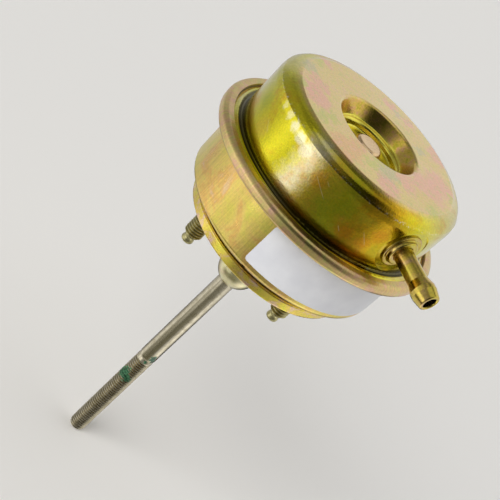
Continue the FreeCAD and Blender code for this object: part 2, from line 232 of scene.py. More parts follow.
# %% [markdown]
# ## The studio's light
# A plated can is a mirror, so it looks like the room it stands in. Read off the photograph's streaks:
# two tall soft boxes on the left, a pale backdrop behind, a dark room on the camera's side and a dark
# ceiling. The world paints that room by direction. Straight below is the pale table. Each layer above it
# is a ramp round the compass for one band of heights: towards the floor, a little below the horizon, the
# soft boxes' cores just under it, above it, high up, and overhead. Straight above hangs a pale panel.
# Neighbouring layers blend.

# %% Paint the room
world = bpy.data.worlds.new("studio")
bpy.context.scene.world = world
world.use_nodes = True
tree = world.node_tree
tree.nodes.clear()


def light(value, tint="#FFFFFF"):
    """A ramp colour of a given brightness and tint."""
    return hue(tint, value)


RING_START = 90


def round_compass(places):
    """Turns (compass degrees, colour) into ramp stops: the ramp runs from 90 degrees, behind, to 450."""
    def share(degrees):
        return 1.0 if degrees == RING_START + 360 else ((degrees - RING_START) % 360) / 360
    return sorted((share(degrees), colour) for degrees, colour in places)


CREAM = "#FFFBD2"
TABLE = light(0.78)
PEAK = light(0.62)
PEAK_START, PEAK_END = 61.0, 70.0
# each layer: (compass degrees, brightness) or (compass degrees, brightness, tint); 450 closes the ring
FLOORWARD = [
    (90, 0.03), (110, 0.06), (134, 0.30), (150, 0.55), (166, 0.85), (182, 1.15), (198, 0.90),
    (208, 0.46), (220, 0.20, CREAM), (232, 0.14, CREAM), (246, 0.12, CREAM), (264, 0.15, CREAM),
    (298, 0.21, CREAM), (311, 0.28), (327, 0.80), (343, 1.35), (359, 1.60), (15, 1.30), (31, 0.35),
    (47, 0.08), (63, 0.03), (450, 0.03),
]
BELOW = [
    (90, 0.66), (120, 0.60), (140, 0.60), (165, 0.54), (182, 0.58), (193, 0.88), (203, 1.35),
    (212, 0.98), (218, 0.64), (226, 1.02), (236, 1.38), (243, 1.48), (249, 1.18), (254, 0.66),
    (261, 0.32), (272, 0.30), (283, 0.31), (300, 0.38), (318, 0.38), (330, 0.34), (337, 0.60),
    (343, 0.80), (352, 0.66), (20, 0.80), (60, 0.74), (450, 0.66),
]
CORES = [
    (90, 0.60), (107, 0.52), (122, 0.58), (138, 0.58), (153, 0.54), (169, 0.66), (180, 0.90),
    (188, 1.02), (201, 1.14), (214, 1.28), (222, 1.55), (236, 1.60), (244, 1.36), (250, 0.86),
    (258, 0.48), (266, 0.42), (283, 0.31), (299, 0.27), (315, 0.29), (326, 0.26), (332, 0.22),
    (342, 0.45), (348, 0.58), (4, 0.68), (19, 0.84), (60, 0.70), (450, 0.60),
]
ABOVE = [
    (90, 0.80), (108, 0.68), (120, 0.58), (128, 0.60), (139, 0.42), (150, 0.33), (173, 0.32),
    (186, 0.30), (196, 0.36), (204, 0.62), (214, 0.86), (226, 0.66), (236, 0.36), (246, 0.24),
    (258, 0.17), (275, 0.07), (291, 0.04), (323, 0.035), (332, 0.12), (340, 0.34), (353, 0.72),
    (7, 0.84), (28, 0.84), (50, 0.76), (66, 0.76), (78, 0.82), (450, 0.80),
]
HIGH = [
    (90, 0.55), (100, 0.42), (113, 0.28), (122, 0.25), (149, 0.29), (173, 0.33), (187, 0.29),
    (200, 0.38), (210, 0.66), (220, 0.60), (230, 0.42), (242, 0.22), (258, 0.16), (275, 0.07),
    (291, 0.04), (323, 0.035), (334, 0.12), (346, 0.24), (356, 0.60), (6, 0.86), (28, 0.95), (50, 0.95),
    (66, 0.92), (76, 0.75), (450, 0.55),
]
OVERHEAD = [
    (90, 0.12), (100, 0.17), (120, 0.16), (180, 0.20), (203, 0.30), (221, 0.20), (242, 0.25),
    (265, 0.20), (288, 0.07), (310, 0.03), (330, 0.03), (346, 0.07), (0, 0.34), (20, 0.62), (48, 0.50),
    (62, 0.24), (70, 0.08), (78, 0.05), (450, 0.12),
]
# a layer and the heights in degrees over which it takes over from the one before
LAYERS = [
    (FLOORWARD, -62.0, -52.0), (BELOW, -35.5, -31.0), (CORES, -23.0, -17.0), (ABOVE, -7.0, 8.0),
    (HIGH, 24.0, 35.0), (OVERHEAD, 46.0, 58.0),
]
print("room layers:", 1 + len(LAYERS))


# %% Wire the room
def round_axis(tree, split):
    """The angle about the vertical as 0 to 1 from behind: the fraction of (atan2(y, x) - pi/2) / 2 pi."""
    turn = maths(tree, "ARCTAN2", split.outputs["Y"], split.outputs["X"])
    turn = maths(tree, "SUBTRACT", turn, math.pi / 2)
    turn = maths(tree, "DIVIDE", turn, 2 * math.pi)
    return maths(tree, "FRACT", turn)


split = add(tree, "SeparateXYZ", {0: add(tree, "TexCoord").outputs["Generated"]})
turn = round_axis(tree, split)
rise = maths(tree, "ARCSINE", split.outputs["Z"])
rise = maths(tree, "DEGREES", rise)
room = TABLE
for places, start, end in LAYERS:
    stops = round_compass([(degrees, light(*level)) for degrees, *level in places])
    layer = add(tree, "ValToRGB", {0: turn}, stops=stops).outputs[0]
    blend = spread(tree, rise, start, end, interpolation_type="SMOOTHSTEP")
    room = mix(tree, blend, room, layer)
to_peak = spread(tree, rise, PEAK_START, PEAK_END, interpolation_type="SMOOTHSTEP")
room = mix(tree, to_peak, room, PEAK)
shine = add(tree, "Background", {"Color": room, "Strength": 1.0}).outputs[0]
add(tree, "OutputWorld", {0: shine})
print("world wired:", len(tree.nodes), "nodes")

# %% [markdown]
# The room alone leaves the paper grey, so a broad soft sun from above lights the floor and the sticker
# and gives the shadow its softness. It is hidden from mirror rays: the metal already sees its lamps.

# %% A broad soft lamp
LAMP_SIDE = Vector((-0.6, -1.0, 0.9))
lamp = bpy.data.lights.new("overhead_softbox", "SUN")
lamp.energy = 1.95
lamp.angle = math.radians(50)
softbox = bpy.data.objects.new("overhead_softbox", lamp)
bpy.context.scene.collection.objects.link(softbox)
softbox.rotation_euler = LAMP_SIDE.to_track_quat("Z", "Y").to_euler()
softbox.visible_glossy = False
print("lamp energy", lamp.energy)

# %% [markdown]
# ## Yellow passivated zinc
# The can, the cap, the plate and the nipple are drawn steel, zinc plated and passivated: a thin yellow
# film over bright metal. To the eye it is gold that drifts to green and pink where the film's depth
# changes, deeper in the walls and paler where it is seen at a slant. So the base is a metal whose colour
# follows a slow noise, and a clear coat stands for the film: it adds the pale sheen at a slant.


# %% The plating's recipe
GRAIN_SHARE = 0.2
# waves of the drawing lines to a radian round the wall and to a metre along it
LINE_WAVES = (95.0, 40.0, 1.0)
PRESSED_DULL = 1.15


def plating(name, film, rough, coat, coat_rough=0.1, grain=1.6, lines=0.0,
            coat_above=None, dull_above=None):
    """A passivated zinc finish. film: a function of the tree and the place that gives the film's colour;
    rough: the metal's roughness; coat and coat_rough: weight and roughness of the clear coat; grain: height
    of the fine grain; lines: strength of the drawing lines along the axis; coat_above: height in mm and the
    coat's weight above it; dull_above: height in mm above which the folding press left the sheet duller."""
    made, tree, out = new_finish(name)
    place = add(tree, "TexCoord").outputs["Object"]
    split = add(tree, "SeparateXYZ", {0: place})
    fine = noise(tree, place, 0.55, 3.0, 0.6)
    angle = maths(tree, "ARCTAN2", split.outputs["Y"], split.outputs["X"])
    along = add(tree, "CombineXYZ", {0: angle, 1: split.outputs["Z"]}).outputs[0]
    drawn = add(tree, "Mapping", {"Vector": along, "Scale": LINE_WAVES}).outputs[0]
    drawn = noise(tree, drawn, 1000, 4.0, 0.7).outputs[0]
    colour = mix(tree, GRAIN_SHARE, film(tree, place), fine.outputs["Color"], blend_type="OVERLAY")
    shade = spread(tree, fine.outputs[0], 0.3, 0.7, 0.88, 1.04)
    streak = spread(tree, drawn, 0.3, 0.7, 1 - 0.14 * lines, 1 + 0.06 * lines)
    shade = maths(tree, "MULTIPLY", shade, streak)
    colour = mix(tree, 1.0, colour, shade, blend_type="MULTIPLY")
    cloud = noise(tree, place, 5.0, 4.0).outputs[0]
    gloss = spread(tree, cloud, 0.3, 0.7, rough * 0.85, rough * 1.2)
    rise = split.outputs["Z"]
    if dull_above is not None:
        low, high = dull_above * MM, (dull_above + 0.6) * MM
        worn = spread(tree, rise, low, high, 1.0, PRESSED_DULL)
        gloss = maths(tree, "MULTIPLY", gloss, worn)
    if coat_above is not None:
        low, high = (coat_above[0] - 0.5) * MM, coat_above[0] * MM
        coat = spread(tree, rise, low, high, coat, coat_above[1])
    height = maths(tree, "MULTIPLY", drawn, lines)
    height = maths(tree, "MULTIPLY_ADD", fine.outputs[0], grain, height)
    relief = add(tree, "Bump", {"Strength": 1.0, "Distance": 0.02 * MM, "Height": height}).outputs[0]
    shader = add(tree, "BsdfPrincipled", {
        "Base Color": colour, "Metallic": 1.0, "Roughness": gloss, "Normal": relief,
        "Coat Weight": coat, "Coat Roughness": coat_rough, "Coat IOR": 1.5,
    })
    tree.links.new(shader.outputs[0], out.inputs[0])
    return made


def drifting(tones, patch):
    """A film that drifts through the tones of a ramp; patch is the size of its patches in mm."""
    def film(tree, place):
        slow = noise(tree, place, patch, 5.0, 0.6, 0.6)
        return add(tree, "ValToRGB", {0: slow.outputs[0]}, stops=tones).outputs[0]
    return film


def moved_by_noise(tree, place, size, reach):
    """The place pushed about by a noise of a given size, by up to half the reach, both in mm."""
    push = noise(tree, place, size, 5.0, 0.65).outputs["Color"]
    push = vectors(tree, "SUBTRACT", push, (0.5, 0.5, 0.5))
    push = add(tree, "VectorMath", {0: push, "Scale": reach * MM}, operation="SCALE").outputs[0]
    return vectors(tree, "ADD", place, push)


print("plating recipe ready")

# %% [markdown]
# The cap's wall is the deepest gold. Its film turns from green through yellow and a rosy white to olive and
# amber as you walk round it, and its flat top is pale with pink and green blooms; the top's paleness is
# partly a painted sheen of the film seen at a slant. Both are drawn with a few named tones: those of the
# wall stand at an angle, and each bloom is a ragged blob at its spot. The palest blobs, under the crease on
# the lit side, are a painted highlight, and the brighter yellow of the well's ledge is a painted
# reflection. The crease round the top is rubbed to small bright specks, a few scratches cross the wall, and
# the narrow gaps at its foot and under the can's lip are painted dark as shade.

# %% Colours of the cap
# the tones that a yellow passivation film takes as it gets thicker and thinner
GOLD, LEMON, LIME, STRAW, ROSY = "#E0C640", "#E2D628", "#CEC840", "#D8CC84", "#DACEA2"
OCHRE, OLIVE, AMBER, ORANGE = "#BCA22C", "#9C9A10", "#A6860E", "#EABA20"
CAP_TONES = [(angle, hue(tone)) for angle, tone in [
    (90, GOLD), (146, ORANGE), (172, LIME), (190, STRAW), (208, LIME), (224, LEMON), (246, LEMON),
    (256, ROSY), (265, OCHRE), (279, OLIVE), (291, AMBER), (304, ORANGE), (318, LEMON), (352, STRAW),
    (450, GOLD),
]]
# the flat top's pale tone: the film's own, made paler by a painted sheen of the film seen at a slant
TOP_STRAW_AND_SHEEN = hue("#E6CA74")
WELL_TONES = [(0.36, hue("#C4B436")), (0.50, hue("#E2C058")), (0.64, hue("#DCAA78"))]
# painted reflection: the well's ledge is coloured a brighter yellow than the well's own bronze
LEDGE_HIGHLIGHT_YELLOW = hue("#F2E45A")
BUTTON_ROSE = hue("#EDCB9A")
# painted shade for the narrow gaps at the cap wall's foot and under the can's lip
PAINTED_GAP_SHADE = hue("#2E260C")
CLOUD_GREEN, CLOUD_RED = hue("#B4B42A"), hue("#D08A30")
MOTTLE_PINK, MOTTLE_LIME = hue("#EBB69C"), hue("#C6C46A")
BARE_METAL = hue("#FFF6DC")
ROSE, PEACH, PALE, MOSS, SAGE = "#EEB090", "#EAB472", "#E4C66C", "#CCC858", "#C6BE86"
# place in mm on the top, size in mm, colour
BLOOMS = [
    ((-16, 12), 10.0, PALE), ((6, 17.5), 6.0, PALE), ((14.5, 15.5), 6.5, PALE), ((21, 6), 6.5, ROSE),
    ((16, 21), 5.5, ROSE), ((18.5, -2.5), 7.5, ROSE), ((14, -10), 5.5, ROSE), ((20, -9), 5.0, PALE),
    ((10.5, -20.5), 5.0, ROSE), ((8, -14.5), 5.0, SAGE), ((3.5, -18), 2.6, MOSS),
    ((4.5, -14), 2.2, MOSS), ((-3.5, -23), 6.0, PEACH), ((-2, -17), 4.0, PEACH),
    ((-11.5, -16), 2.6, MOSS), ((-13, -20.5), 3.0, MOSS), ((-17.5, -13), 5.6, ROSE),
    ((-20.5, -6), 4.6, ROSE), ((-21.5, -12.5), 3.6, ROSE), ((-26, -2.5), 3.6, SAGE),
    ((-24, 9), 2.4, ROSE), ((-26, 5), 3.0, MOSS), ((-4, 22), 3.0, ROSE), ((-1, 21.5), 1.8, SAGE),
    ((3, 22.5), 2.8, ROSE), ((11, 14), 2.2, SAGE), ((26, 5.5), 2.2, MOSS), ((24.5, -11), 4.0, MOSS),
    ((-24, -14), 3.0, MOSS),
]
CREASE_Z = 43.0
TOP_Z = cad_box[1][2] / MM
WALL_R = 31.5
BLOOM_STRENGTH = 0.85
SCRATCH_STRENGTH = 0.3
# each pair: where a zone of the film starts and where it is in full force, in metres
TOP_EDGE = ((TOP_Z - 0.5) * MM, (TOP_Z - 0.08) * MM)
LEDGE_HIGHLIGHT_EDGE = ((TOP_Z - 3.6) * MM, (TOP_Z - 4.2) * MM)
WELL_EDGE = (15.0 * MM, 13.8 * MM)
BUTTON_EDGE = (5.2 * MM, 4.4 * MM)
# the next three mark where the painted gap shade lies: at the wall's foot, under the lip, and low on the
# wall
FOOT_SHADE_EDGE = (33.1 * MM, 32.7 * MM)
RIM_SHADE_EDGE = (34.0 * MM, 34.4 * MM)
LOW_SHADE_EDGE = (28.3 * MM, 26.9 * MM)
CREASE_EDGE = (0.55 * MM, 0.1 * MM)
CREASE_REACH = 25 * MM
# (angle in degrees, height in mm) on the wall, size in mm, colour, strength; the first five, pale, are a
# painted highlight under the crease on the lit side, the rest are tone patches of the film
WALL_BLOOMS_AND_HIGHLIGHT = [
    ((227.0, 41.9), 1.2, "#F0E690", 0.8), ((233.5, 41.7), 1.5, "#F2E8A0", 0.8),
    ((240.0, 41.5), 1.8, "#F2EAB8", 0.85), ((246.0, 41.1), 2.1, "#F2EABE", 0.85),
    ((252.0, 40.3), 2.4, "#F0E6C2", 0.75), ((305.5, 37.0), 3.0, "#DC8E1C", 0.5),
    ((301.0, 33.0), 2.4, "#DC981E", 0.6), ((283.0, 37.5), 3.6, "#8C9010", 0.6),
    ((274.0, 33.5), 3.2, "#98A01A", 0.5), ((290.0, 32.5), 3.0, "#B87A10", 0.6),
    ((266.0, 38.0), 3.0, "#CE8E20", 0.5), ((226.0, 33.0), 3.6, "#E8C84C", 0.5),
    ((214.0, 37.0), 3.4, "#B4BC2A", 0.5), ((206.0, 32.5), 3.0, "#DCA83C", 0.4),
]
# start and end as (angle in degrees, height in mm), width in mm
SCRATCHES = [
    ((263.0, 38.7), (273.5, 35.4), 0.10), ((268.5, 39.6), (271.0, 38.8), 0.08),
    ((286.0, 33.0), (288.5, 31.8), 0.10), ((225.0, 36.0), (231.0, 33.5), 0.07),
    ((20.0, 38.0), (31.0, 33.0), 0.09), ((120.0, 34.0), (126.0, 37.5), 0.09),
]
print("blooms:", len(BLOOMS), "scratches:", len(SCRATCHES))


# %% Marks on the cap
def scratch(tree, place, start, end, width):
    """1 on a thin line between two points of the wall, given as (angle in degrees, height in mm)."""
    turns = [(math.radians(degrees), height) for degrees, height in (start, end)]
    a, b = (Vector((WALL_R * math.cos(t), WALL_R * math.sin(t), height)) for t, height in turns)
    way = (b - a).normalized()
    across = way.cross(Vector((a.x, a.y, 0))).normalized()
    gap = vectors(tree, "SUBTRACT", place, a * MM)
    aside = vectors(tree, "DOT_PRODUCT", gap, across)
    aside = maths(tree, "ABSOLUTE", aside)
    thin = spread(tree, aside, width * MM, 0.4 * width * MM)
    half = (b - a).length / 2
    run = vectors(tree, "DOT_PRODUCT", gap, way)
    run = maths(tree, "SUBTRACT", run, half * MM)
    run = maths(tree, "ABSOLUTE", run)
    inside = spread(tree, run, half * MM, 0.7 * half * MM)
    return maths(tree, "MULTIPLY", thin, inside)


def cap_film(tree, place):
    """The wall and its blooms with a painted highlight under the crease, the pale top with its own blooms
    and a painted sheen, the well with a painted reflection on its ledge, painted shade in the crevices,
    specks and scratches.
    """
    ragged = moved_by_noise(tree, place, 2.4, 9.0)
    nudged = moved_by_noise(tree, place, 1.6, 3.0)
    split = add(tree, "SeparateXYZ", {0: ragged})
    colour = add(tree, "ValToRGB", {0: round_axis(tree, split)}, stops=round_compass(CAP_TONES)).outputs[0]
    slow = noise(tree, place, 7.0, 5.0, 0.6).outputs[0]
    greener = spread(tree, slow, 0.52, 0.68, 0.0, 0.4)
    redder = spread(tree, slow, 0.46, 0.34, 0.0, 0.4)
    colour = mix(tree, greener, colour, CLOUD_GREEN)
    colour = mix(tree, redder, colour, CLOUD_RED)
    # blobs on the wall: the first five paint a pale highlight under the crease, the others tint the film
    for (angle, height), size, code, strength in WALL_BLOOMS_AND_HIGHLIGHT:
        turned = math.radians(angle)
        spot = (WALL_R * MM * math.cos(turned), WALL_R * MM * math.sin(turned), height * MM)
        gap = vectors(tree, "DISTANCE", nudged, spot)
        bloom = spread(tree, gap, size * MM, size * 0.5 * MM, 0.0, strength)
        colour = mix(tree, bloom, colour, hue(code))
    flat = vectors(tree, "MULTIPLY", ragged, (1.0, 1.0, 0.0))
    # the top's colour, paled by a painted sheen of the slant view, with the film's blooms on it
    straw_and_sheen = TOP_STRAW_AND_SHEEN
    for (x, y), size, code in BLOOMS:
        gap = vectors(tree, "DISTANCE", flat, (x * MM, y * MM, 0.0))
        bloom = spread(tree, gap, size * MM, size * 0.6 * MM, 0.0, BLOOM_STRENGTH)
        straw_and_sheen = mix(tree, bloom, straw_and_sheen, hue(code))
    split = add(tree, "SeparateXYZ", {0: place})
    mottle = noise(tree, place, 2.2, 6.0, 0.72).outputs[0]
    pinker = spread(tree, mottle, 0.50, 0.64, 0.0, 0.42)
    straw_and_sheen = mix(tree, pinker, straw_and_sheen, MOTTLE_PINK)
    limier = spread(tree, mottle, 0.48, 0.36, 0.0, 0.55)
    straw_and_sheen = mix(tree, limier, straw_and_sheen, MOTTLE_LIME)
    on_top = spread(tree, split.outputs["Z"], *TOP_EDGE)
    radius = vectors(tree, "MULTIPLY", place, (1.0, 1.0, 0.0))
    radius = vectors(tree, "LENGTH", radius)
    in_well = spread(tree, radius, *WELL_EDGE)
    # painted reflection: below the well's step the ledge turns a brighter yellow
    floor = spread(tree, split.outputs["Z"], *LEDGE_HIGHLIGHT_EDGE)
    bronze = add(tree, "ValToRGB", {0: mottle}, stops=WELL_TONES).outputs[0]
    well = mix(tree, floor, bronze, LEDGE_HIGHLIGHT_YELLOW)
    button = spread(tree, radius, *BUTTON_EDGE)
    well = mix(tree, button, well, BUTTON_ROSE)
    colour = mix(tree, in_well, colour, well)
    colour = mix(tree, on_top, colour, straw_and_sheen)
    # painted shade: the gaps at the wall's foot and under the lip are darkened, fading out up the wall
    foot = spread(tree, radius, *FOOT_SHADE_EDGE)
    gap = spread(tree, radius, *RIM_SHADE_EDGE)
    deep = maths(tree, "MAXIMUM", foot, gap)
    low = spread(tree, split.outputs["Z"], *LOW_SHADE_EDGE, 0.0, 0.9)
    deep = maths(tree, "MULTIPLY", deep, low)
    colour = mix(tree, deep, colour, PAINTED_GAP_SHADE)
    away = maths(tree, "SUBTRACT", split.outputs["Z"], CREASE_Z * MM)
    away = maths(tree, "ABSOLUTE", away)
    near = spread(tree, away, *CREASE_EDGE)
    outside = vectors(tree, "DISTANCE", place, (0.0, 0.0, CREASE_Z * MM))
    outside = maths(tree, "GREATER_THAN", outside, CREASE_REACH)
    spots = noise(tree, place, 0.6, 4.0, 0.7).outputs[0]
    spots = spread(tree, spots, 0.54, 0.66, 0.0, 0.8)
    rubbed = maths(tree, "MULTIPLY", near, spots)
    rubbed = maths(tree, "MULTIPLY", rubbed, outside)
    for start, end, width in SCRATCHES:
        line = scratch(tree, place, start, end, width)
        rubbed = maths(tree, "MULTIPLY_ADD", line, SCRATCH_STRENGTH, rubbed, use_clamp=True)
    return mix(tree, rubbed, colour, BARE_METAL)


cap_finish = plating("yellow_passivated_cap", cap_film, 0.17, coat=0.15, coat_above=(TOP_Z - 0.1, 0.6))
print("cap finish:", len(cap_finish.node_tree.nodes), "nodes")

# %% [markdown]
# The can is the same plating over a wall that was drawn deeper: fine lines run along the axis, and they
# spread its streaks sideways, so it looks paler and softer than the cap. The folded lip was left a little
# duller by the closing tool and has tones of its own, and the low step at the foot is cream.

# %% Finishes of the can, the plate and the nipple
CAN_GOLD = [
    (0.30, hue("#E6DE62")), (0.41, hue("#F2DC6C")), (0.50, hue("#F6D876")), (0.59, hue("#F2C46C")),
    (0.68, hue("#F6CF98")), (0.76, hue("#EEDC70")),
]
PLATE_GOLD = [
    (0.30, hue("#E6DC52")), (0.40, hue("#F0DA54")), (0.50, hue("#EECF62")), (0.58, hue("#F0D0A0")),
    (0.66, hue("#E8B8B0")), (0.74, hue("#EADC78")),
]
NIPPLE_GOLD = [
    (0.30, hue("#CDC040")), (0.50, hue("#D0B650")), (0.70, hue("#D6B07A")),
]
LIP_TONES = [
    (0.32, hue("#D2D080")), (0.44, hue("#E6CE86")), (0.54, hue("#E8C48C")), (0.64, hue("#EAB8A0")),
    (0.74, hue("#DCCC90")),
]
STEP_CREAM = hue("#F4EAC4")
STEP_TOP = 6.0
LIP_EDGE = (23.2 * MM, 24.0 * MM)


def can_film(tree, place):
    """Drifting gold, with cream on the step below the shoulder."""
    colour = drifting(CAN_GOLD, 8.0)(tree, place)
    split = add(tree, "SeparateXYZ", {0: place})
    rise = split.outputs["Z"]
    on_lip = spread(tree, rise, *LIP_EDGE, 0.0, 0.85)
    lip = drifting(LIP_TONES, 3.0)(tree, place)
    colour = mix(tree, on_lip, colour, lip)
    # the low step under the shoulder is cream
    on_step = spread(tree, rise, STEP_TOP * MM, (STEP_TOP - 0.5) * MM, 0.0, 0.85)
    return mix(tree, on_step, colour, STEP_CREAM)


can_finish = plating(
    "yellow_passivated_can", can_film, 0.3, coat=0.3, coat_rough=0.25, lines=1.4, dull_above=23.4)
plate_finish = plating(
    "yellow_passivated_plate", drifting(PLATE_GOLD, 3.5), 0.26, coat=0.4, coat_rough=0.2, grain=0.9)
nipple_finish = plating("yellow_passivated_nipple", drifting(NIPPLE_GOLD, 4.0), 0.2, coat=0.3, grain=1.0)
hub_finish = plating("pale_passivated_hub", drifting([
    (0.35, hue("#D9D3A0")), (0.55, hue("#DED2A2")), (0.70, hue("#E4CFA8")),
], 5.0), 0.28, coat=0.6, coat_rough=0.2)
print("four more platings")

# %% Give them to the solids


def dress(node, finish):
    """Puts one finish in every material slot of a CAD node."""
    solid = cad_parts[node]
    if not solid.material_slots:
        solid.data.materials.append(finish)
    for place in solid.material_slots:
        place.material = finish


for node, finish in {
    "pressure_cap": cap_finish, "spring_can": can_finish, "base_plate": plate_finish,
    "hose_nipple": nipple_finish, "nipple_collar": nipple_finish, "guide_hub": hub_finish,
}.items():
    dress(node, finish)
print("dressed the plated nodes")

# %% [markdown]
# ## Threads
# The rod and the studs carry a metric M6 thread, 1 mm from crest to crest. A thread is a radius that
# depends on height and angle: walk once round and the ridge has risen by one pitch. So a threaded bar is
# a grid of rings whose radius is its outline less a ridge shape, and that is one array sum.


# %% A bar from rings
def ring_bar(name, radius, height, columns):
    """A closed bar about the axis. radius is (rows, columns) and height is (rows,), both in mm and rising.
    A point is (r cos a, r sin a, z); rows join into quads and each end closes on its centre."""
    rows = len(height)
    a = np.linspace(0, 2 * np.pi, columns, endpoint=False)
    z = np.broadcast_to(height[:, None], (rows, columns))
    rings = np.stack([radius * np.cos(a), radius * np.sin(a), z], -1).reshape(-1, 3)
    ends = np.array([[0, 0, height[0]], [0, 0, height[-1]]])
    i = np.arange(rows - 1)[:, None] * columns
    j = np.arange(columns)
    k = (j + 1) % columns
    quads = np.stack([i + j, i + k, i + columns + k, i + columns + j], -1).reshape(-1, 4)
    foot = np.stack([np.full(columns, rows * columns), k, j], -1)
    last = (rows - 1) * columns
    head = np.stack([np.full(columns, rows * columns + 1), j + last, k + last], -1)
    mesh = bpy.data.meshes.new(name)
    faces = quads.tolist() + foot.tolist() + head.tolist()
    mesh.from_pydata((np.concatenate([rings, ends]) * MM).tolist(), [], faces)
    mesh.polygons.foreach_set("use_smooth", np.ones(len(mesh.polygons), bool))
    made = bpy.data.objects.new(name, mesh)
    bpy.context.scene.collection.objects.link(made)
    return made


def outline(height, corners):
    """Radius at each height of an outline given as (height, radius) corners, joined by straight lines."""
    z, r = np.array(corners).T
    return np.interp(height, z, r)


# shares of half a pitch that the flat crest and the flat root take
CREST_SHARE = 0.14
ROOT_SHARE = 0.16


def ridge(height, columns, pitch=1.0, depth=0.56):
    """Depth cut from the outline: 0 on the crest, depth at the root, rising one pitch a turn.
    The phase is z/pitch less a/2 pi; how far it is from the crest gives the flank and a smooth root."""
    a = np.arange(columns) / columns
    phase = (height[:, None] / pitch - a) % 1.0
    off = np.abs(2 * phase - 1)
    flank = np.clip((off - CREST_SHARE) / (1 - CREST_SHARE - ROOT_SHARE), 0, 1)
    return depth * (0.75 * flank + 0.25 * flank * flank * (3 - 2 * flank))


def ease(x, start, end):
    """0 before start, 1 after end, 3t^2 - 2t^3 between."""
    t = np.clip((x - start) / (end - start), 0, 1)
    return t * t * (3 - 2 * t)


def note_depth(solid, cut):
    """Keeps how deep each point lies in the thread, 0 to 1, to darken the roots."""
    values = np.concatenate([cut.ravel() / max(cut.max(), 1e-9), [0, 0]]).astype(np.float32)
    solid.data.attributes.new("root", "FLOAT", "POINT").data.foreach_set("value", values)


print("thread helpers ready")

# %% [markdown]
# The rod's outline is the solid's own: chamfered tip, threaded end, shank, and the spigot riveted over
# the piston inside. Where the thread ends, the rolling die has left a short waist that flares into the
# shank and catches the light.

# %% Build the rod
TIP = -103.5
THREAD_END = -62.5
ROD_COLUMNS = 48
ROD_R = 2.95
# height between two rings where there is thread, in mm
THREAD_STEP = 1 / 13
rod_z = np.concatenate([
    [TIP, TIP + 0.03, TIP + 0.12, TIP + 0.26, TIP + 0.42],
    np.arange(TIP + 0.5, THREAD_END - 0.05, THREAD_STEP),
    THREAD_END + np.array([0.0, 0.3, 0.6, 0.9, 1.2, 1.36, 1.44, 1.5, 1.56, 1.64, 1.8]),
    np.linspace(-60, 31.9, 12), [32.04, 32.06, 36.9, 37.0, 37.02, 38.0, 38.45, 38.6],
])
rod_line = outline(rod_z, [
    (TIP, 1.75), (TIP + 0.03, 1.95), (TIP + 0.12, 2.15), (TIP + 0.26, 2.33), (TIP + 0.5, 2.52),
    (TIP + 1.6, 2.86), (TIP + 4.0, 2.92), (THREAD_END, 2.92), (THREAD_END + 1.36, 2.7),
    (THREAD_END + 1.5, 2.76), (THREAD_END + 1.64, 2.9), (THREAD_END + 1.8, ROD_R), (32.04, ROD_R),
    (32.06, 2.1), (37.0, 2.1), (37.02, 3.0), (38.0, 2.9), (38.45, 2.5), (38.6, 2.2),
])
fade = ease(rod_z, TIP + 0.1, TIP + 1.2) * (1 - ease(rod_z, THREAD_END - 1.0, THREAD_END - 0.1))
rod_cut = ridge(rod_z, ROD_COLUMNS) * fade[:, None]
rod = ring_bar("threaded_rod", rod_line[:, None] - rod_cut, rod_z, ROD_COLUMNS)
note_depth(rod, rod_cut)
print("rod:", len(rod.data.polygons), "faces")

# %% [markdown]
# A stud has the same thread up to a short cone, and then a smooth dog point with a rounded bulb, which
# guides the nut. The studs stand 17.1 mm from the axis.

# %% Build the studs
STUD_COLUMNS = 40
STUD_CIRCLE = 17.1
STUD_TURN = 6.9
stud_z = np.concatenate([
    [-19.5, -19.47, -19.38, -19.22, -19.0, -18.7, -18.3, -17.9, -17.5, -17.1],
    np.arange(-17.0, -0.7, THREAD_STEP), [-0.65, -0.3, 0.0, 0.02, 1.69, 1.71, 2.9, 3.04, 3.1],
])
stud_line = outline(stud_z, [
    (-19.5, 1.1), (-19.47, 1.35), (-19.38, 1.6), (-19.22, 1.8), (-19.0, 1.93), (-18.7, 2.0), (-18.3, 1.95),
    (-17.9, 1.78), (-17.5, 1.72), (-17.1, 1.8), (-15.9, 2.9), (-15.6, 2.97), (-0.7, 2.97), (0.0, 2.97),
    (0.02, 3.3), (1.69, 3.3), (1.71, 4.6), (2.9, 4.6), (3.04, 4.55), (3.1, 4.4),
])
stud_fade = ease(stud_z, -17.0, -15.9) * (1 - ease(stud_z, -0.6, 0.0))
stud_cut = ridge(stud_z, STUD_COLUMNS) * stud_fade[:, None]
studs = {}
for name, node, turn in (("stud_right_thread", "stud_right", 0), ("stud_left_thread", "stud_left", 180)):
    stud = ring_bar(name, stud_line[:, None] - stud_cut, stud_z, STUD_COLUMNS)
    note_depth(stud, stud_cut)
    angle = math.radians(STUD_TURN + turn)
    foot = (STUD_CIRCLE * MM * math.cos(angle), STUD_CIRCLE * MM * math.sin(angle), 0)
    stud.data.transform(Matrix.Translation(foot))
    studs[node] = stud
print("stud:", len(stud.data.polygons), "faces each")

# %% [markdown]
# ## Steel of the rod and the studs
# The rod is cold-drawn steel with a thin clear passivation: grey with a warm cast, dull streaks along it,
# and darker thread roots. A fitter's green paint sits on the thread in one thick dab, with a few smears
# just above the thread's end. Paint is no metal, so there the metallic value drops to zero.


# %% The drawn steel
PAINT_R = 2.9
PAINT_ROUGH = 0.3
PAINT_RAGGED = -2.6
PAINT_EDGE = (-0.30, -0.46)
PAINT_DARK, PAINT_LIGHT = hue("#0C3A22"), hue("#5A9268")


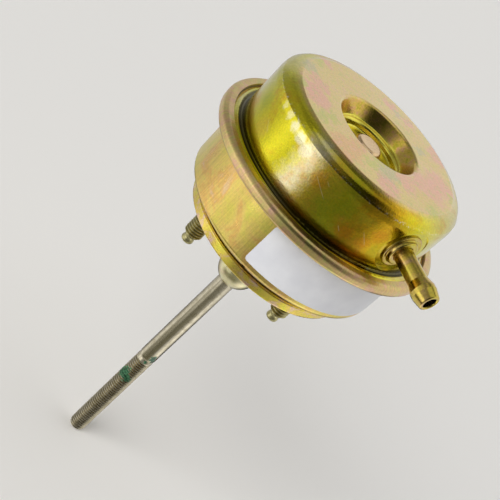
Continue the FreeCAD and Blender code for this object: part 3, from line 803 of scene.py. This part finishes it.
def drawn_steel(name, pale, dull, rough, paint=()):
    """Passivated drawn steel. pale and dull: hex colours of the clean metal and of its darker streaks,
    blots and thread roots; paint: blobs as (angle in degrees, height in mm, half width along and round in
    mm)."""
    made, tree, out = new_finish(name)
    place = add(tree, "TexCoord").outputs["Object"]
    root = add(tree, "Attribute", attribute_name="root").outputs["Fac"]
    stretched = add(tree, "Mapping", {"Vector": place, "Scale": (1.0, 1.0, 0.06)}).outputs[0]
    streak = noise(tree, stretched, 0.5, 3.0).outputs[0]
    blot = noise(tree, place, 2.2, 4.0, 0.65).outputs[0]
    worn = spread(tree, blot, 0.42, 0.72, 0.0, 0.45)
    lines = spread(tree, streak, 0.4, 0.75, 0.0, 0.35)
    darkening = maths(tree, "ADD", worn, lines)
    # the thread's roots are darker, the deeper the more
    darkening = maths(tree, "MULTIPLY_ADD", root, 0.6, darkening, use_clamp=True)
    colour = mix(tree, darkening, hue(pale), hue(dull))
    gloss = spread(tree, darkening, 0.0, 1.0, rough, rough + 0.16)
    metal = 1.0
    if paint:
        wet = None
        ragged = noise(tree, place, 0.8, 4.0, 0.7).outputs[0]
        for angle, height, tall, wide in paint:
            facing = (math.cos(math.radians(angle)), math.sin(math.radians(angle)), 0.0)
            spot = (facing[0] * PAINT_R * MM, facing[1] * PAINT_R * MM, height * MM)
            gap = vectors(tree, "SUBTRACT", place, spot)
            gap = vectors(tree, "MULTIPLY", gap, (1 / (wide * MM), 1 / (wide * MM), 1 / (tall * MM)))
            gap = vectors(tree, "LENGTH", gap)
            gap = maths(tree, "MULTIPLY_ADD", ragged, PAINT_RAGGED, gap)
            spot_on = spread(tree, gap, *PAINT_EDGE)
            wet = spot_on if wet is None else maths(tree, "MAXIMUM", wet, spot_on)
        tone = spread(tree, ragged, 0.4, 0.7)
        green = mix(tree, tone, PAINT_DARK, PAINT_LIGHT)
        colour = mix(tree, wet, colour, green)
        gloss = add(tree, "Mix", {0: wet, 2: gloss, 3: PAINT_ROUGH}).outputs[0]
        metal = maths(tree, "SUBTRACT", 1.0, wet)
    relief = add(tree, "Bump", {"Strength": 0.5, "Distance": 0.02 * MM, "Height": streak}).outputs[0]
    shader = add(tree, "BsdfPrincipled", {
        "Base Color": colour, "Metallic": metal, "Roughness": gloss, "Normal": relief,
    })
    tree.links.new(shader.outputs[0], out.inputs[0])
    return made


GREEN_SPOTS = [
    (243, -70.3, 2.6, 1.5), (222, -71.2, 2.2, 1.6), (203, -71.8, 1.5, 1.4), (262, -71.3, 2.0, 1.5),
    (283, -71.8, 1.7, 1.5), (298, -71.8, 1.3, 1.0), (312, -59.0, 1.5, 0.9), (322, -60.0, 1.4, 0.8),
    (291, -61.7, 0.7, 0.6),
]
rod_steel = drawn_steel("drawn_steel_rod", "#CFC6AE", "#8F8460", 0.18, GREEN_SPOTS)
stud_steel = drawn_steel("passivated_stud_steel", "#C9C08C", "#8A8052", 0.3)
rod.data.materials.append(rod_steel)
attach(rod, "rod")
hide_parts("actuator_rod")
for node, stud in studs.items():
    stud.data.materials.append(stud_steel)
    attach(stud, "canister")
    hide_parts(node)
print("rod and studs dressed")

# %% [markdown]
# ## The sticker
# A blank silver-white polyester label wraps a third of the can. It is satin, and faintly uneven where it
# was smoothed by hand.

# %% The sticker's finish
sticker, tree, out = new_finish("silver_white_polyester")
place = add(tree, "TexCoord").outputs["Object"]
cloud = noise(tree, place, 6.0, 4.0).outputs[0]
fine = noise(tree, place, 0.4, 2.0).outputs[0]
silver = [(0.35, hue("#E6E7EC")), (0.65, hue("#EFF0F4"))]
colour = add(tree, "ValToRGB", {0: cloud}, stops=silver).outputs[0]
gloss = spread(tree, cloud, 0.3, 0.7, 0.34, 0.46)
relief = add(tree, "Bump", {"Strength": 0.3, "Distance": 0.02 * MM, "Height": fine}).outputs[0]
shader = add(tree, "BsdfPrincipled", {"Base Color": colour, "Roughness": gloss, "Normal": relief})
tree.links.new(shader.outputs[0], out.inputs[0])
dress("label", sticker)
print("sticker dressed")

# %% [markdown]
# ## What is inside
# The working parts are hidden, but a cutaway shows them: bronze bush, rubber wiper and diaphragm, spring
# steel and plain pressed steel. Each gets a simple grained finish.


# %% Inside finishes
def grained(name, first, second, grain, rough, metallic):
    """Two close colours mixed by a noise of a given grain in mm, with a matching bump."""
    made, tree, out = new_finish(name)
    place = add(tree, "TexCoord").outputs["Object"]
    spots = noise(tree, place, grain, 4.0).outputs[0]
    colour = mix(tree, spots, hue(first), hue(second))
    gloss = spread(tree, spots, 0.0, 1.0, rough - 0.05, rough + 0.08)
    relief = add(tree, "Bump", {"Strength": 0.4, "Distance": 0.03 * MM, "Height": spots}).outputs[0]
    shader = add(tree, "BsdfPrincipled", {
        "Base Color": colour, "Metallic": metallic, "Roughness": gloss, "Normal": relief,
    })
    tree.links.new(shader.outputs[0], out.inputs[0])
    return made


rubber = grained("nitrile_rubber", "#1C1C1D", "#29292A", 0.6, 0.6, 0.0)
bronze = grained("sintered_bronze", "#A9743C", "#C08C4E", 0.3, 0.42, 1.0)
spring = grained("oil_tempered_spring_steel", "#5C5A56", "#77736C", 1.2, 0.35, 1.0)
pressed = grained("pressed_steel", "#A8A69F", "#BDBAB2", 2.0, 0.36, 1.0)
for node, finish in {
    "diaphragm": rubber, "rod_wiper": rubber, "stop_bumper": rubber, "guide_bush": bronze,
    "return_spring": spring, "spring_seat": pressed, "piston_cup": pressed, "diaphragm_retainer": pressed,
    "piston_washer": pressed, "stop_sleeve": pressed,
}.items():
    dress(node, finish)
print("inner parts dressed")
